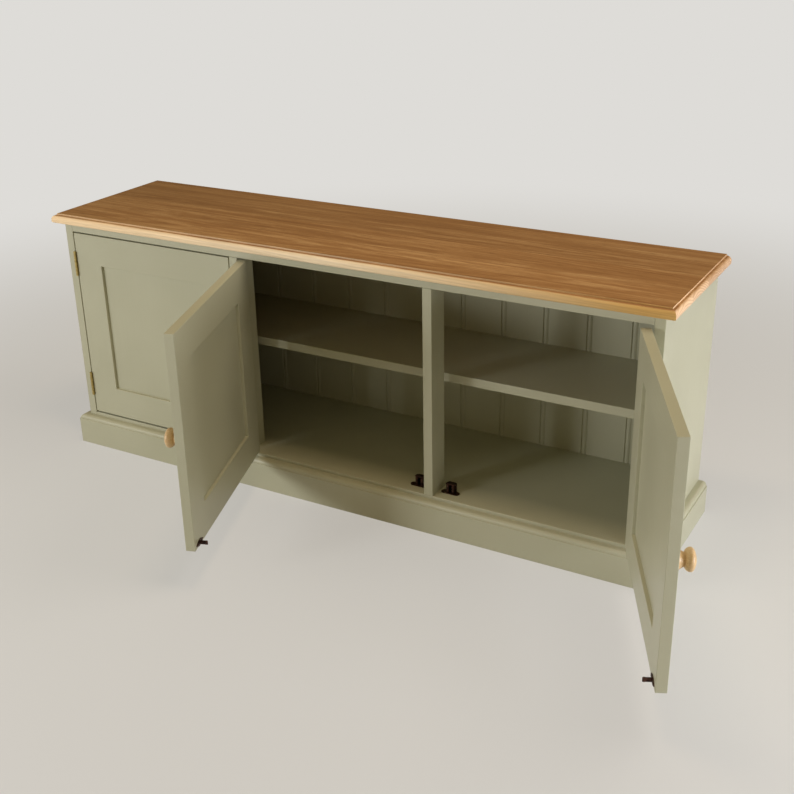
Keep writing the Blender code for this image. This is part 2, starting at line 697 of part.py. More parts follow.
def leaf_mesh(name, hand, knuckles):
    pitch = HINGE_HEIGHT / HINGE_KNUCKLES
    near, far = sorted((hand * LEAF_SPACE / 2, hand * LEAF_OUTER))
    inset = KNUCKLE_NECK_INSET
    plate_low = (near, PIN_SETBACK, -HINGE_HEIGHT / 2)
    plate_high = (far, PIN_SETBACK + LEAF_DEPTH, HINGE_HEIGHT / 2)
    plate = box_mesh(name, plate_low, plate_high)
    additions = []
    for knuckle in knuckles:
        low = -HINGE_HEIGHT / 2 + knuckle * pitch + FIT / 2
        high = low + pitch - FIT
        additions.append(cylinder_mesh(f"{name}_knuckle_{knuckle}", BARREL_RADIUS, low, high))
        neck_low = (near + inset, (PIN_RADIUS + PIN_PLAY + BARREL_RADIUS) / 2, low + inset)
        neck_high = (far - inset, PIN_SETBACK + LEAF_THICKNESS, high - inset)
        additions.append(box_mesh(f"{name}_neck_{knuckle}", neck_low, neck_high))
    reach = (HINGE_HEIGHT - pitch) / 2
    if hand < 0:
        additions.append(cylinder_mesh(f"{name}_pin", PIN_RADIUS, -reach, reach))
        return shaped(name, plate, additions, screw_holes(name, hand))
    bore = cylinder_mesh(f"{name}_bore", PIN_RADIUS + PIN_PLAY, -reach, reach)
    return shaped(name, plate, additions, [bore, *screw_holes(name, hand)])


# Strike: a lozenge plate with a tongue whose swollen head passes between the rollers.

def strike_mesh():
    half = STRIKE_LENGTH / 2
    rise = STRIKE_HEIGHT / 2
    shoulder = half - STRIKE_HEIGHT
    lower = [(-half, 0), (-shoulder, -rise), (shoulder, -rise)]
    upper = [(half, 0), (shoulder, rise), (-shoulder, rise)]
    lozenge = [(STRIKE_X + u, STRIKE_Z + v) for u, v in lower + upper]
    plate = drawn_mesh("strike", lozenge, "Y", STRIKE_BACK - STRIKE_PLATE, STRIKE_BACK)
    swell = TONGUE_HEAD / 2
    length = TONGUE_HEAD_LENGTH / 2
    centre = STRIKE_BACK + TONGUE_LENGTH - length
    start = math.asin(TONGUE_NECK / TONGUE_HEAD)
    steps = 2 * ARC_STEPS
    head = []
    for step in range(steps + 1):
        turn = start + (2 * math.pi - 2 * start) * step / steps
        head.append((STRIKE_X + swell * math.sin(turn), centre - length * math.cos(turn)))
    root = STRIKE_BACK - STRIKE_PLATE / 2
    neck = TONGUE_NECK / 2
    outline = [(STRIKE_X + neck, root)] + head + [(STRIKE_X - neck, root)]
    tongue = drawn_mesh("strike_tongue", outline, "Z", TONGUE_LOW, TONGUE_HIGH)
    return shaped("strike", plate, additions=[tongue])


# Catch: a base with rounded ends, a slotted block behind the rollers and a cap over them.

def catch_mesh():
    base_low = FIT
    base_high = FIT + CATCH_PLATE
    cap_low = ROLLER_HIGH - FLOOR_HEIGHT + FIT
    cap_high = cap_low + CATCH_PLATE
    round_end = CATCH_BASE_DEPTH / 2
    reach = CATCH_HALF + CATCH_EAR - round_end
    right_end = arc((reach, 0), round_end, -math.pi / 2, math.pi / 2)
    left_end = arc((-reach, 0), round_end, math.pi / 2, 1.5 * math.pi)
    base = drawn_mesh("catch", right_end + left_end, "Z", base_low, base_high)
    half = CATCH_HALF
    slot = TONGUE_HEAD / 2 + TONGUE_SLOT_PLAY
    front = ROLLER_DIAMETER / 2 + 2 * FIT
    back = CATCH_SLOT_END + CATCH_PLATE
    bow = CATCH_SLOT_END - front
    left = arc((-half + bow, back - bow), bow, math.pi / 2, math.pi)
    right = arc((half - bow, back - bow), bow, 0.0, math.pi / 2)
    notch = [(-slot, front), (-slot, CATCH_SLOT_END), (slot, CATCH_SLOT_END), (slot, front)]
    block_outline = [(half, front)] + right + left + [(-half, front)] + notch
    overlap = CATCH_PLATE / 2
    block = drawn_mesh("catch_block", block_outline, "Z", base_low + overlap, cap_low + overlap)
    cap_outline = [(half - FIT, 0)] + arc((half - bow, back - bow), bow - FIT, 0.0, math.pi / 2)
    cap_outline += arc((-half + bow, back - bow), bow - FIT, math.pi / 2, math.pi) + [(-half + FIT, 0)]
    cap = drawn_mesh("catch_cap", cap_outline, "Z", cap_low, cap_high)
    return shaped("catch", base, additions=[block, cap])


def roller_mesh():
    return cylinder_mesh("roller", ROLLER_DIAMETER / 2, ROLLER_LOW, ROLLER_HIGH)


def door_meshes():
    meshes = {}
    meshes.update(stile_meshes())
    meshes.update(rail_meshes())
    meshes["panel"] = panel_mesh()
    meshes["knob"] = knob_mesh()
    meshes["strike"] = strike_mesh()
    return meshes


def build_doors():
    finishes = {"knob": BEECH, "strike": BRONZE}
    meshes = door_meshes()
    door_leaf = leaf_mesh("leaf_door", 1, range(1, HINGE_KNUCKLES, 2))
    frame_leaf = leaf_mesh("leaf_frame", -1, range(0, HINGE_KNUCKLES, 2))
    for index, (door, hand, angle) in enumerate(DOORS):
        pin = (pin_place(index, hand), FRONT - PIN_SETBACK, 0.0)
        axis = bpy.data.objects.new(f"{door}_axis", None)
        axis.location = pin
        axis.rotation_euler.z = -hand * angle
        parts.objects.link(axis)
        for piece, mesh in meshes.items():
            handed = mesh if hand > 0 else mirrored(mesh)
            place(f"{door}_{piece}", handed, finishes.get(piece, PAINT), parent=axis)
        for label, height in HINGE_PLACES.items():
            moving = door_leaf if hand > 0 else mirrored(door_leaf)
            fixed = frame_leaf if hand > 0 else mirrored(frame_leaf)
            place(f"{door}_leaf_{label}", moving, BRASS, (0, 0, height), axis)
            place(f"hinge_leaf_{door}_{label}", fixed, BRASS, (pin[0], pin[1], height))


def build_catches():
    catch = catch_mesh()
    roller = roller_mesh()
    for index, (door, hand, angle) in enumerate(DOORS):
        middle = pin_place(index, hand) + hand * STRIKE_X
        row = FRONT - PIN_SETBACK + ROLLER_Y
        place(f"catch_{door}", catch, BRONZE, (middle, row, FLOOR_HEIGHT))
        place(f"roller_{door}_a", roller, BRONZE, (middle - ROLLER_SPREAD, row, 0))
        place(f"roller_{door}_b", roller, BRONZE, (middle + ROLLER_SPREAD, row, 0))


clear_scene()
parts = make_collection("painted_sideboard")
cutters = make_collection("cutters")
build_top()
build_uprights()
build_boards()
build_shelf()
build_back()
build_plinth()
build_doors()
build_catches()
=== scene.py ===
import json
import math

import bmesh
import bpy
from mathutils import Matrix, Vector


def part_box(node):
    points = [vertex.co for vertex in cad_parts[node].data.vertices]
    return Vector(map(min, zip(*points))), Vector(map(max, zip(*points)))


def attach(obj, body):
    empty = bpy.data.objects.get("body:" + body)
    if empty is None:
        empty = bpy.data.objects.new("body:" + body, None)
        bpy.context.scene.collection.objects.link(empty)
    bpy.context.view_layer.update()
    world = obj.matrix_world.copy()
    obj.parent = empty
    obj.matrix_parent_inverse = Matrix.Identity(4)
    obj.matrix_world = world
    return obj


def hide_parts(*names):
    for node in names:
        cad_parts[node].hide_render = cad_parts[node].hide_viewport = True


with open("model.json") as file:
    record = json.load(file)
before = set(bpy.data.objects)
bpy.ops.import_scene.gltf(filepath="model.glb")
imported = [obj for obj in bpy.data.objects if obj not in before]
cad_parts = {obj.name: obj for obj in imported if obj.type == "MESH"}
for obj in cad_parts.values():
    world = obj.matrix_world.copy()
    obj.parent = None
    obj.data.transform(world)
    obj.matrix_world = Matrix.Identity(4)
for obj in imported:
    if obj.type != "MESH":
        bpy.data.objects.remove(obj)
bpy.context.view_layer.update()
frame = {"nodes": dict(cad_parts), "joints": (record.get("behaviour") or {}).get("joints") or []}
print("frame loaded,", len(frame["nodes"]), "nodes")

doors = ["door_left", "door_middle", "door_right"]
near = 1e-5  # metres within which two places count as one
weld = 1e-6  # metres within which corners are merged
squareOn = 0.9  # the least share of a normal for a face that looks one way


# sRGB hex to linear colour
def hexColour(text):
    channels = [int(text[start:start + 2], 16) / 255 for start in (1, 3, 5)]
    linear = [c / 12.92 if c <= 0.04045 else ((c + 0.055) / 1.055) ** 2.4 for c in channels]
    return (*linear, 1.0)


# One shader node: its settings, its ramp stops, and its sockets as values or links. In the
# dictionaries below, four numbers for a Map Range are: pattern from and to, result from and to.
def addNode(tree, kind, sockets=None, stops=None, **settings):
    node = tree.nodes.new("ShaderNode" + kind)
    for name, value in settings.items():
        setattr(node, name, value)
    for name, value in (sockets or {}).items():
        if isinstance(value, bpy.types.NodeSocket):
            tree.links.new(value, node.inputs[name])
        else:
            node.inputs[name].default_value = value
    for index, (place, colour) in enumerate(stops or []):
        points = node.color_ramp.elements
        stop = points[index] if index < 2 else points.new(place)  # a ramp starts with two stops
        stop.position = place
        stop.color = hexColour(colour)
    return node


def startMaterial(name):
    material = bpy.data.materials.new(name)
    material.use_nodes = True
    tree = material.node_tree
    return material, tree, tree.nodes["Principled BSDF"]


# Satin furniture paint, brushed on. It gives an even, slightly chalky sage with a soft sheen,
# faint laid-off brush strokes and a slow drift in tone from coat to coat.
sagePaint = {
    "light": "#BBBBA4",
    "deep": "#B0B098",
    "toneSpread": (0.3, 0.7),
    "strokeLength": 0.130,
    "strokeWidth": 0.0024,  # real bristle marks are finer, drawn this coarse so that they show
    "strokeDepth": 0.00002,
    "strokeShare": 0.15,  # of the strokes in the tone, the rest is drift
    "driftSize": 0.300,
    "roughness": (0.25, 0.75, 0.34, 0.44),
    "relief": 0.3,
    "ior": 1.48,
}


def paintMaterial(name, along, turn=0.0):
    look = sagePaint
    material, tree, shader = startMaterial(name)
    sizes = [look["strokeWidth"]] * 3
    sizes["XYZ".index(along)] = look["strokeLength"]
    place = addNode(tree, "TexCoord").outputs["Object"]
    lay = addNode(tree, "Mapping", {"Vector": place, "Rotation": (0, 0, turn), "Scale": sizes},
                  vector_type="TEXTURE")
    strokes = addNode(tree, "TexNoise", {"Vector": lay.outputs[0], "Scale": 1.0, "Detail": 3.0,
                                         "Roughness": 0.6})
    drift = addNode(tree, "TexNoise", {"Vector": place, "Scale": 1 / look["driftSize"],
                                       "Detail": 2.0})
    blend = addNode(tree, "Mix", {0: look["strokeShare"], 2: drift.outputs[0],
                                  3: strokes.outputs[0]})
    deepAt, lightAt = look["toneSpread"]
    tone = addNode(tree, "ValToRGB", {"Fac": blend.outputs[0]},
                   [(deepAt, look["deep"]), (lightAt, look["light"])])
    sheen = addNode(tree, "MapRange", {"Value": strokes.outputs[0],
                                       **dict(enumerate(look["roughness"], 1))})
    relief = addNode(tree, "Bump", {"Height": strokes.outputs[0], "Strength": look["relief"],
                                    "Distance": look["strokeDepth"]})
    tree.links.new(tone.outputs[0], shader.inputs["Base Color"])
    tree.links.new(sheen.outputs[0], shader.inputs["Roughness"])
    tree.links.new(relief.outputs[0], shader.inputs["Normal"])
    shader.inputs["IOR"].default_value = look["ior"]
    return material


# Oiled oak, edge-glued from boards. It gives warm brown lengthwise streaks, short dark pores,
# a trace of rings, pale sapwood along the front edge under a painted highlight, a painted
# highlight line on the front arris and pinker end grain, all nearly matt.
oiledOak = {
    "pale": "#C29C6E",
    "middle": "#9E7448",
    "dark": "#835A33",
    "toneSpread": (0.33, 0.50, 0.67),  # where the dark, middle and pale tones stand
    "pore": "#5E3D20",
    "endPale": "#DFC09C",
    "endDark": "#C09A76",
    "endSpread": (0.2, 0.8),
    "endFacing": (0.30, 0.75),  # how far a face turns to the side before end grain shows
    # sapwood colour along the length with a painted highlight in it, palest towards the middle
    "sapAndHighlight": [(0.10, "#E8CEA9"), (0.50, "#F0DDBF"), (0.95, "#C39E61")],  # along the length
    "sapTone": (0.38, 0.62, 0.84, 1.10),
    # where the sapwood and the painted highlight show, in metres from the front edge: sapwood with
    # a painted highlight on the lower ovolo, then a painted highlight line on the arris
    "sapAndHighlightBand": [(0.0, "#FFFFFF"), (0.0036, "#FFFFFF"), (0.0064, "#000000"), (0.0096, "#000000"),
                (0.0099, "#B0B0B0"), (0.0112, "#B0B0B0"), (0.0116, "#000000")],
    "sapAndHighlightReach": 0.016,
    # a board starts at each glue line across the depth, its grey sets its tint and its own log
    "frontBoard": "#E8E8E8",
    "boards": [(-0.092, "#C0C0C0"), (0.011, "#303030"), (0.133, "#808080")],
    "boardTint": (0.0, 1.0, 0.96, 1.16),
    "logStep": (3.1, 0.26, 0.05),
    "wander": (0.420, 0.050, 0.050),
    "bend": (0, 0.014, 0.014),
    "pithPlace": (0, 0.06, 0.56),
    "pithLean": (0, math.radians(1.6), math.radians(0.5)),
    "ringWidth": 0.0052,  # real rings are about 3 mm, drawn wider so that they show
    "waveLength": 0.314159,  # of a wave texture at scale 1
    "ringShare": 0.06,
    "streakShare": 0.48,
    # feature size along, across and through the board in metres, then detail and roughness
    "grain": {
        "fibre": ((0.160, 0.0034, 0.0034), 4.0, 0.65),
        "streak": ((0.650, 0.024, 0.024), 3.0, 0.5),
        "pores": ((0.022, 0.0012, 0.0012), 1.0, 0.5),  # coarser than real pores, so that they show
        "lines": ((0.060, 0.0022, 0.0022), 2.0, 0.5),
    },
    "poreMask": (0.62, 0.74, 0.0, 0.55),
    "lineMask": (0.60, 0.70, 0.0, 0.6),
    "roughness": (0.25, 0.75, 0.34, 0.44),
    "relief": 0.4,
    "reliefDepth": 0.00006,
    "ior": 1.5,
    "gloss": 0.15,
}


def oakMaterial():
    look = oiledOak
    low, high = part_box("top_board")
    material, tree, shader = startMaterial("oiledOak")
    source = addNode(tree, "TexCoord")
    place = source.outputs["Object"]
    across = addNode(tree, "SeparateXYZ", {0: place})
    share = addNode(tree, "MapRange", {"Value": across.outputs["Y"], 1: low.y, 2: high.y})
    stops = [((joint - low.y) / (high.y - low.y), grey) for joint, grey in look["boards"]]
    board = addNode(tree, "ValToRGB", {"Fac": share.outputs[0]},
                    [(0.0, look["frontBoard"]), *stops])
    board.color_ramp.interpolation = "CONSTANT"

    # Every board takes its pattern from another part of the log
    wanderSpace = addNode(tree, "Mapping", {"Vector": place, "Scale": look["wander"]},
                          vector_type="TEXTURE")
    wander = addNode(tree, "TexNoise", {"Vector": wanderSpace.outputs[0], "Scale": 1.0,
                                        "Detail": 2.0})
    bent = addNode(tree, "VectorMath", {0: wander.outputs["Color"], 1: look["bend"], 2: place},
                   operation="MULTIPLY_ADD")
    log = addNode(tree, "VectorMath", {0: board.outputs[0], 1: look["logStep"],
                                       2: bent.outputs[0]}, operation="MULTIPLY_ADD")
    pith = addNode(tree, "Mapping", {"Vector": log.outputs[0], "Location": look["pithPlace"],
                                     "Rotation": look["pithLean"]}, vector_type="TEXTURE")
    rings = addNode(tree, "TexWave", {"Vector": pith.outputs[0], "Distortion": 2.0, "Detail": 3.0,
                                      "Scale": look["waveLength"] / look["ringWidth"],
                                      "Detail Scale": 0.6},
                    wave_type="RINGS", rings_direction="X")
    grain = {}
    for layer, (size, detail, roughness) in look["grain"].items():
        space = addNode(tree, "Mapping", {"Vector": log.outputs[0], "Scale": size},
                        vector_type="TEXTURE")
        noise = addNode(tree, "TexNoise", {"Vector": space.outputs[0], "Scale": 1.0,
                                           "Detail": detail, "Roughness": roughness})
        grain[layer] = noise.outputs[0]

    # Long grain: streaks and fibres, then dark pores and lines over them
    figure = addNode(tree, "Mix", {0: look["streakShare"], 2: grain["fibre"], 3: grain["streak"]})
    figure = addNode(tree, "Mix", {0: look["ringShare"], 2: figure.outputs[0],
                                   3: rings.outputs[1]})
    darkAt, middleAt, paleAt = look["toneSpread"]
    long = addNode(tree, "ValToRGB", {"Fac": figure.outputs[0]},
                   [(darkAt, look["dark"]), (paleAt, look["pale"]), (middleAt, look["middle"])])
    poreMask = addNode(tree, "MapRange", {"Value": grain["pores"],
                                          **dict(enumerate(look["poreMask"], 1))})
    long = addNode(tree, "Mix", {0: poreMask.outputs[0], 6: long.outputs[0],
                                 7: hexColour(look["pore"])}, data_type="RGBA")
    lineMask = addNode(tree, "MapRange", {"Value": grain["lines"],
                                          **dict(enumerate(look["lineMask"], 1))})
    long = addNode(tree, "Mix", {0: lineMask.outputs[0], 6: long.outputs[2],
                                 7: hexColour(look["dark"])}, data_type="RGBA")

    # Sapwood along the moulded front edge with a painted highlight over it, palest in the middle,
    # and a painted highlight line on the arris
    lengthways = addNode(tree, "MapRange", {"Value": across.outputs["X"], 1: low.x, 2: high.x})
    sapAndHighlight = addNode(tree, "ValToRGB", {"Fac": lengthways.outputs[0]}, look["sapAndHighlight"])
    sapTone = addNode(tree, "MapRange", {"Value": figure.outputs[0],
                                         **dict(enumerate(look["sapTone"], 1))})
    sapAndHighlight = addNode(tree, "Mix", {0: 1.0, 6: sapAndHighlight.outputs[0], 7: sapTone.outputs[0]},
                  data_type="RGBA", blend_type="MULTIPLY")
    reach = addNode(tree, "MapRange", {"Value": across.outputs["Y"], 1: low.y,
                                       2: low.y + look["sapAndHighlightReach"]})
    sapAndHighlightMask = addNode(tree, "ValToRGB", {"Fac": reach.outputs[0]},
                      [(inset / look["sapAndHighlightReach"], grey) for inset, grey in look["sapAndHighlightBand"]])
    long = addNode(tree, "Mix", {0: sapAndHighlightMask.outputs[0], 6: long.outputs[2], 7: sapAndHighlight.outputs[2]},
                   data_type="RGBA")

    # End grain: the faces that look left and right
    endTone = addNode(tree, "Mix", {0: 0.5, 2: rings.outputs[1], 3: board.outputs[0]})
    darkAt, paleAt = look["endSpread"]
    end = addNode(tree, "ValToRGB", {"Fac": endTone.outputs[0]},
                  [(darkAt, look["endDark"]), (paleAt, look["endPale"])])
    facing = addNode(tree, "SeparateXYZ", {0: source.outputs["Normal"]})
    facing = addNode(tree, "Math", {0: facing.outputs["X"]}, operation="ABSOLUTE")
    facing = addNode(tree, "MapRange", {"Value": facing.outputs[0],
                                        **dict(enumerate(look["endFacing"], 1))})
    colour = addNode(tree, "Mix", {0: facing.outputs[0], 6: long.outputs[2], 7: end.outputs[0]},
                     data_type="RGBA")
    tint = addNode(tree, "MapRange", {"Value": board.outputs[0],
                                      **dict(enumerate(look["boardTint"], 1))})
    colour = addNode(tree, "Mix", {0: 1.0, 6: colour.outputs[2], 7: tint.outputs[0]},
                     data_type="RGBA", blend_type="MULTIPLY")
    sheen = addNode(tree, "MapRange", {"Value": grain["fibre"],
                                       **dict(enumerate(look["roughness"], 1))})
    height = addNode(tree, "Math", {0: grain["fibre"], 1: poreMask.outputs[0]},
                     operation="SUBTRACT")
    relief = addNode(tree, "Bump", {"Height": height.outputs[0], "Strength": look["relief"],
                                    "Distance": look["reliefDepth"]})
    tree.links.new(colour.outputs[2], shader.inputs["Base Color"])
    tree.links.new(sheen.outputs[0], shader.inputs["Roughness"])
    tree.links.new(relief.outputs[0], shader.inputs["Normal"])
    shader.inputs["IOR"].default_value = look["ior"]
    shader.inputs["Specular IOR Level"].default_value = look["gloss"]
    return material


# Turned beech, lacquered. It gives a pale honey colour with fine darker flecks along the axis
# and a smooth soft shine.
turnedBeech = {
    "pale": "#DFC295",
    "deep": "#CEAA77",
    "toneSpread": (0.3, 0.7),
    "fleck": "#B38B59",
    "grain": (0.0016, 0.020, 0.0016),  # fine grain along the knob's own axis
    "flecks": (0.0010, 0.0032, 0.0010),
    "fleckMask": (0.62, 0.72, 0.0, 0.5),
    "roughness": (0.3, 0.7, 0.28, 0.36),
    "ior": 1.5,
}


def beechMaterial(name, turn):
    look = turnedBeech
    material, tree, shader = startMaterial(name)
    place = addNode(tree, "TexCoord").outputs["Object"]
    grainSpace = addNode(tree, "Mapping", {"Vector": place, "Rotation": (0, 0, turn),
                                           "Scale": look["grain"]}, vector_type="TEXTURE")
    grain = addNode(tree, "TexNoise", {"Vector": grainSpace.outputs[0], "Scale": 1.0,
                                       "Detail": 3.0})
    deepAt, paleAt = look["toneSpread"]
    tone = addNode(tree, "ValToRGB", {"Fac": grain.outputs[0]},
                   [(deepAt, look["deep"]), (paleAt, look["pale"])])
    fleckSpace = addNode(tree, "Mapping", {"Vector": place, "Rotation": (0, 0, turn),
                                           "Scale": look["flecks"]}, vector_type="TEXTURE")
    flecks = addNode(tree, "TexNoise", {"Vector": fleckSpace.outputs[0], "Scale": 1.0,
                                        "Detail": 1.0})
    mask = addNode(tree, "MapRange", {"Value": flecks.outputs[0],
                                      **dict(enumerate(look["fleckMask"], 1))})
    colour = addNode(tree, "Mix", {0: mask.outputs[0], 6: tone.outputs[0],
                                   7: hexColour(look["fleck"])}, data_type="RGBA")
    sheen = addNode(tree, "MapRange", {"Value": grain.outputs[0],
                                       **dict(enumerate(look["roughness"], 1))})
    tree.links.new(colour.outputs[2], shader.inputs["Base Color"])
    tree.links.new(sheen.outputs[0], shader.inputs["Roughness"])
    shader.inputs["IOR"].default_value = look["ior"]
    return material


# Pressed brass, a little tarnished. It gives a dull yellow metal with brown patches.
pressedBrass = {"bright": "#C6B072", "tarnish": "#A5925C", "patch": 0.006, "grit": 0.0007,
                "roughness": (0.3, 0.7, 0.46, 0.34)}

# Bronzed steel. It gives a brown-black metal, rubbed coppery in places.
bronzedSteel = {"bright": "#66493E", "tarnish": "#302624", "patch": 0.005, "grit": 0.0006,
                "roughness": (0.3, 0.7, 0.50, 0.38)}

# What both metals share
agedMetal = {"toneSpread": (0.35, 0.68), "relief": 0.25, "gritDepth": 0.00003}


def metalMaterial(name, look):
    material, tree, shader = startMaterial(name)
    place = addNode(tree, "TexCoord").outputs["Object"]
    patches = addNode(tree, "TexNoise", {"Vector": place, "Scale": 1 / look["patch"],
                                         "Detail": 4.0})
    tarnishAt, brightAt = agedMetal["toneSpread"]
    tone = addNode(tree, "ValToRGB", {"Fac": patches.outputs[0]},
                   [(tarnishAt, look["tarnish"]), (brightAt, look["bright"])])
    grit = addNode(tree, "TexNoise", {"Vector": place, "Scale": 1 / look["grit"], "Detail": 2.0})
    sheen = addNode(tree, "MapRange", {"Value": patches.outputs[0],
                                       **dict(enumerate(look["roughness"], 1))})
    relief = addNode(tree, "Bump", {"Height": grit.outputs[0], "Strength": agedMetal["relief"],
                                    "Distance": agedMetal["gritDepth"]})
    tree.links.new(tone.outputs[0], shader.inputs["Base Color"])
    tree.links.new(sheen.outputs[0], shader.inputs["Roughness"])
    tree.links.new(relief.outputs[0], shader.inputs["Normal"])
    shader.inputs["Metallic"].default_value = 1.0
    return material


# Where each door stands: a matrix from the closed, left-hinged door to the frame, the door's
# hand and how far it is turned
def doorSpace(door):
    joint = next(item for item in frame["joints"] if item["child"] == door)
    hand = -joint["axis"][2]
    turn = hand * math.radians(joint["range_deg"][0])
    pin = Matrix.Translation((joint["pos_m"][0], joint["pos_m"][1], 0))
    return pin @ Matrix.Rotation(turn, 4, "Z"), hand, turn


# A node's corners in its door's own space
def doorBox(node, door):
    back = doorSpace(door)[0].inverted()
    places = [back @ vertex.co for vertex in frame["nodes"][node].data.vertices]
    low = Vector([min(place[axis] for place in places) for axis in range(3)])
    high = Vector([max(place[axis] for place in places) for axis in range(3)])
    return low, high


# Faces narrower than the blend width are shaded smooth, corners from these angles stay sharp
# or are eased
shading = {"blendWidth": 0.004, "sharp": 34, "easeFrom": 44}


# Turns a bmesh into a piece of the model, smooth on its rounds and sharp on its corners
def addPiece(name, bm, finishes, body, nodes=(), sharp=shading["sharp"]):
    bmesh.ops.recalc_face_normals(bm, faces=bm.faces)
    # Broad faces stay flat, the narrow strips of a curve blend
    longest = [max(edge.calc_length() for edge in face.edges) for face in bm.faces]
    blends = [face.calc_area() < shading["blendWidth"] * length
              for face, length in zip(bm.faces, longest)]
    mesh = bpy.data.meshes.new(name)
    bm.to_mesh(mesh)
    bm.free()
    for finish in finishes:
        mesh.materials.append(finish)
    if "custom_normal" in mesh.attributes:  # a copied node brings its own
        mesh.attributes.remove(mesh.attributes["custom_normal"])
    mesh.set_sharp_from_angle(angle=math.radians(sharp))
    mesh.polygons.foreach_set("use_smooth", blends)
    piece = bpy.data.objects.new(name, mesh)
    bpy.context.scene.collection.objects.link(piece)
    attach(piece, body)
    if nodes:
        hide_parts(*nodes)
    return piece


# Rounds the sharp edges of a finished piece
def easeEdges(piece, width, steps):
    ease = piece.modifiers.new("ease", "BEVEL")
    ease.width = width
    ease.segments = steps
    ease.limit_method = "ANGLE"
    ease.angle_limit = math.radians(shading["easeFrom"])
    ease.harden_normals = True
    piece.data.shade_smooth()


def boxBmesh(low, high):
    bm = bmesh.new()
    bmesh.ops.create_cube(bm, size=1.0)
    bmesh.ops.scale(bm, vec=high - low, verts=bm.verts)
    bmesh.ops.translate(bm, vec=(low + high) / 2, verts=bm.verts)
    return bm


def edgesWhere(bm, test):
    return [edge for edge in bm.edges if test((edge.verts[0].co + edge.verts[1].co) / 2)]


def roundOver(bm, edges, width, steps):
    bmesh.ops.bevel(bm, geom=edges, offset=width, segments=steps, profile=0.5, affect="EDGES",
                    material=-1)


def cutAcross(bm, point, way, clear=False):
    everything = bm.verts[:] + bm.edges[:] + bm.faces[:]
    bmesh.ops.bisect_plane(bm, geom=everything, plane_co=point, plane_no=way, clear_outer=clear)


def sliceOff(bm, point, away):
    cutAcross(bm, point, away, clear=True)
    bmesh.ops.holes_fill(bm, edges=[edge for edge in bm.edges if edge.is_boundary])


# Lifts or sinks faces on walls of their own
def raiseFaces(bm, faces, shift):
    raised = bmesh.ops.extrude_face_region(bm, geom=faces)
    moved = [item for item in raised["geom"] if isinstance(item, bmesh.types.BMVert)]
    bmesh.ops.delete(bm, geom=faces, context="FACES_ONLY")
    bmesh.ops.translate(bm, vec=shift, verts=moved)


paint = {
    "upright": paintMaterial("satinPaintUpright", "Z"),
    "lengthwise": paintMaterial("satinPaintLengthwise", "X"),
    "depthwise": paintMaterial("satinPaintDepthwise", "Y"),
}
for door in doors:
    paint[door] = paintMaterial("satinPaintRails_" + door, "X", doorSpace(door)[2])
oak = oakMaterial()
brass = metalMaterial("pressedBrass", pressedBrass)
bronze = metalMaterial("bronzedSteel", bronzedSteel)
beech = {door: beechMaterial("turnedBeech_" + door, doorSpace(door)[2]) for door in doors}
print("materials made")

# Boards keep their CAD shape and get paint brushed along their length
lengthwise = ["floor_board", "rail_top_front", "rail_top_back", "rail_base_front",
              "rail_base_back", "shelf", "batten_shelf", "plinth_front"]
depthwise = ["bearer_base", "plinth_left", "plinth_right"]
for name, node in frame["nodes"].items():
    finish = paint["upright"]
    if name in lengthwise:
        finish = paint["lengthwise"]
    elif name in depthwise:
        finish = paint["depthwise"]
    elif "_rail_" in name and name.startswith("door"):
        finish = paint[name.split("_rail_")[0]]
    elif "leaf" in name:
        finish = brass
    elif "strike" in name or "catch" in name or "roller" in name:
        finish = bronze
    elif name.endswith("_knob"):
        finish = beech[name.removesuffix("_knob")]
    elif name == "top_board":
        finish = oak
    for place in node.material_slots:
        place.material = finish
print("boards painted")


# Oak top: a square fillet over an ovolo round the front and both ends, the back edge plain
topMoulding = {"fillet": 0.003, "ovolo": 0.010, "under": 0.0045, "arris": 0.0007,
               "ovoloSteps": 12, "underSteps": 6, "arrisSteps": 3, "spare": 0.05}


def buildOakTop():
    look = topMoulding
    low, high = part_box("top_board")
    crest = high.z - look["fillet"]
    # The spare depth is cut off again at the back, so that the moulding runs through
    bm = boxBmesh(low, Vector((high.x, high.y + look["spare"], crest)))
    under = edgesWhere(bm, lambda spot: spot.z < low.z + near)
    roundOver(bm, under, look["under"], look["underSteps"])
    rim = edgesWhere(bm, lambda spot: spot.z > crest - near)
    roundOver(bm, rim, look["ovolo"], look["ovoloSteps"])
    field = max(bm.faces, key=lambda face: face.normal.z * face.calc_area())
    raiseFaces(bm, [field], (0, 0, look["fillet"]))
    rim = edgesWhere(bm, lambda spot: spot.z > high.z - near)
    roundOver(bm, rim, look["arris"], look["arrisSteps"])
    sliceOff(bm, (0, high.y, 0), (0, 1, 0))
    addPiece("oakTop", bm, [oak], "carcass", ["top_board"])


buildOakTop()
print("oak top moulded")


# Plinth: an ovolo and quirk along the top edge, mitred at the front corners
plinthMoulding = {"ovolo": 0.009, "quirk": 0.001, "fillet": 0.002, "mitreGap": 0.0003,
                  "arris": 0.0004, "ovoloSteps": 10, "arrisSteps": 2}


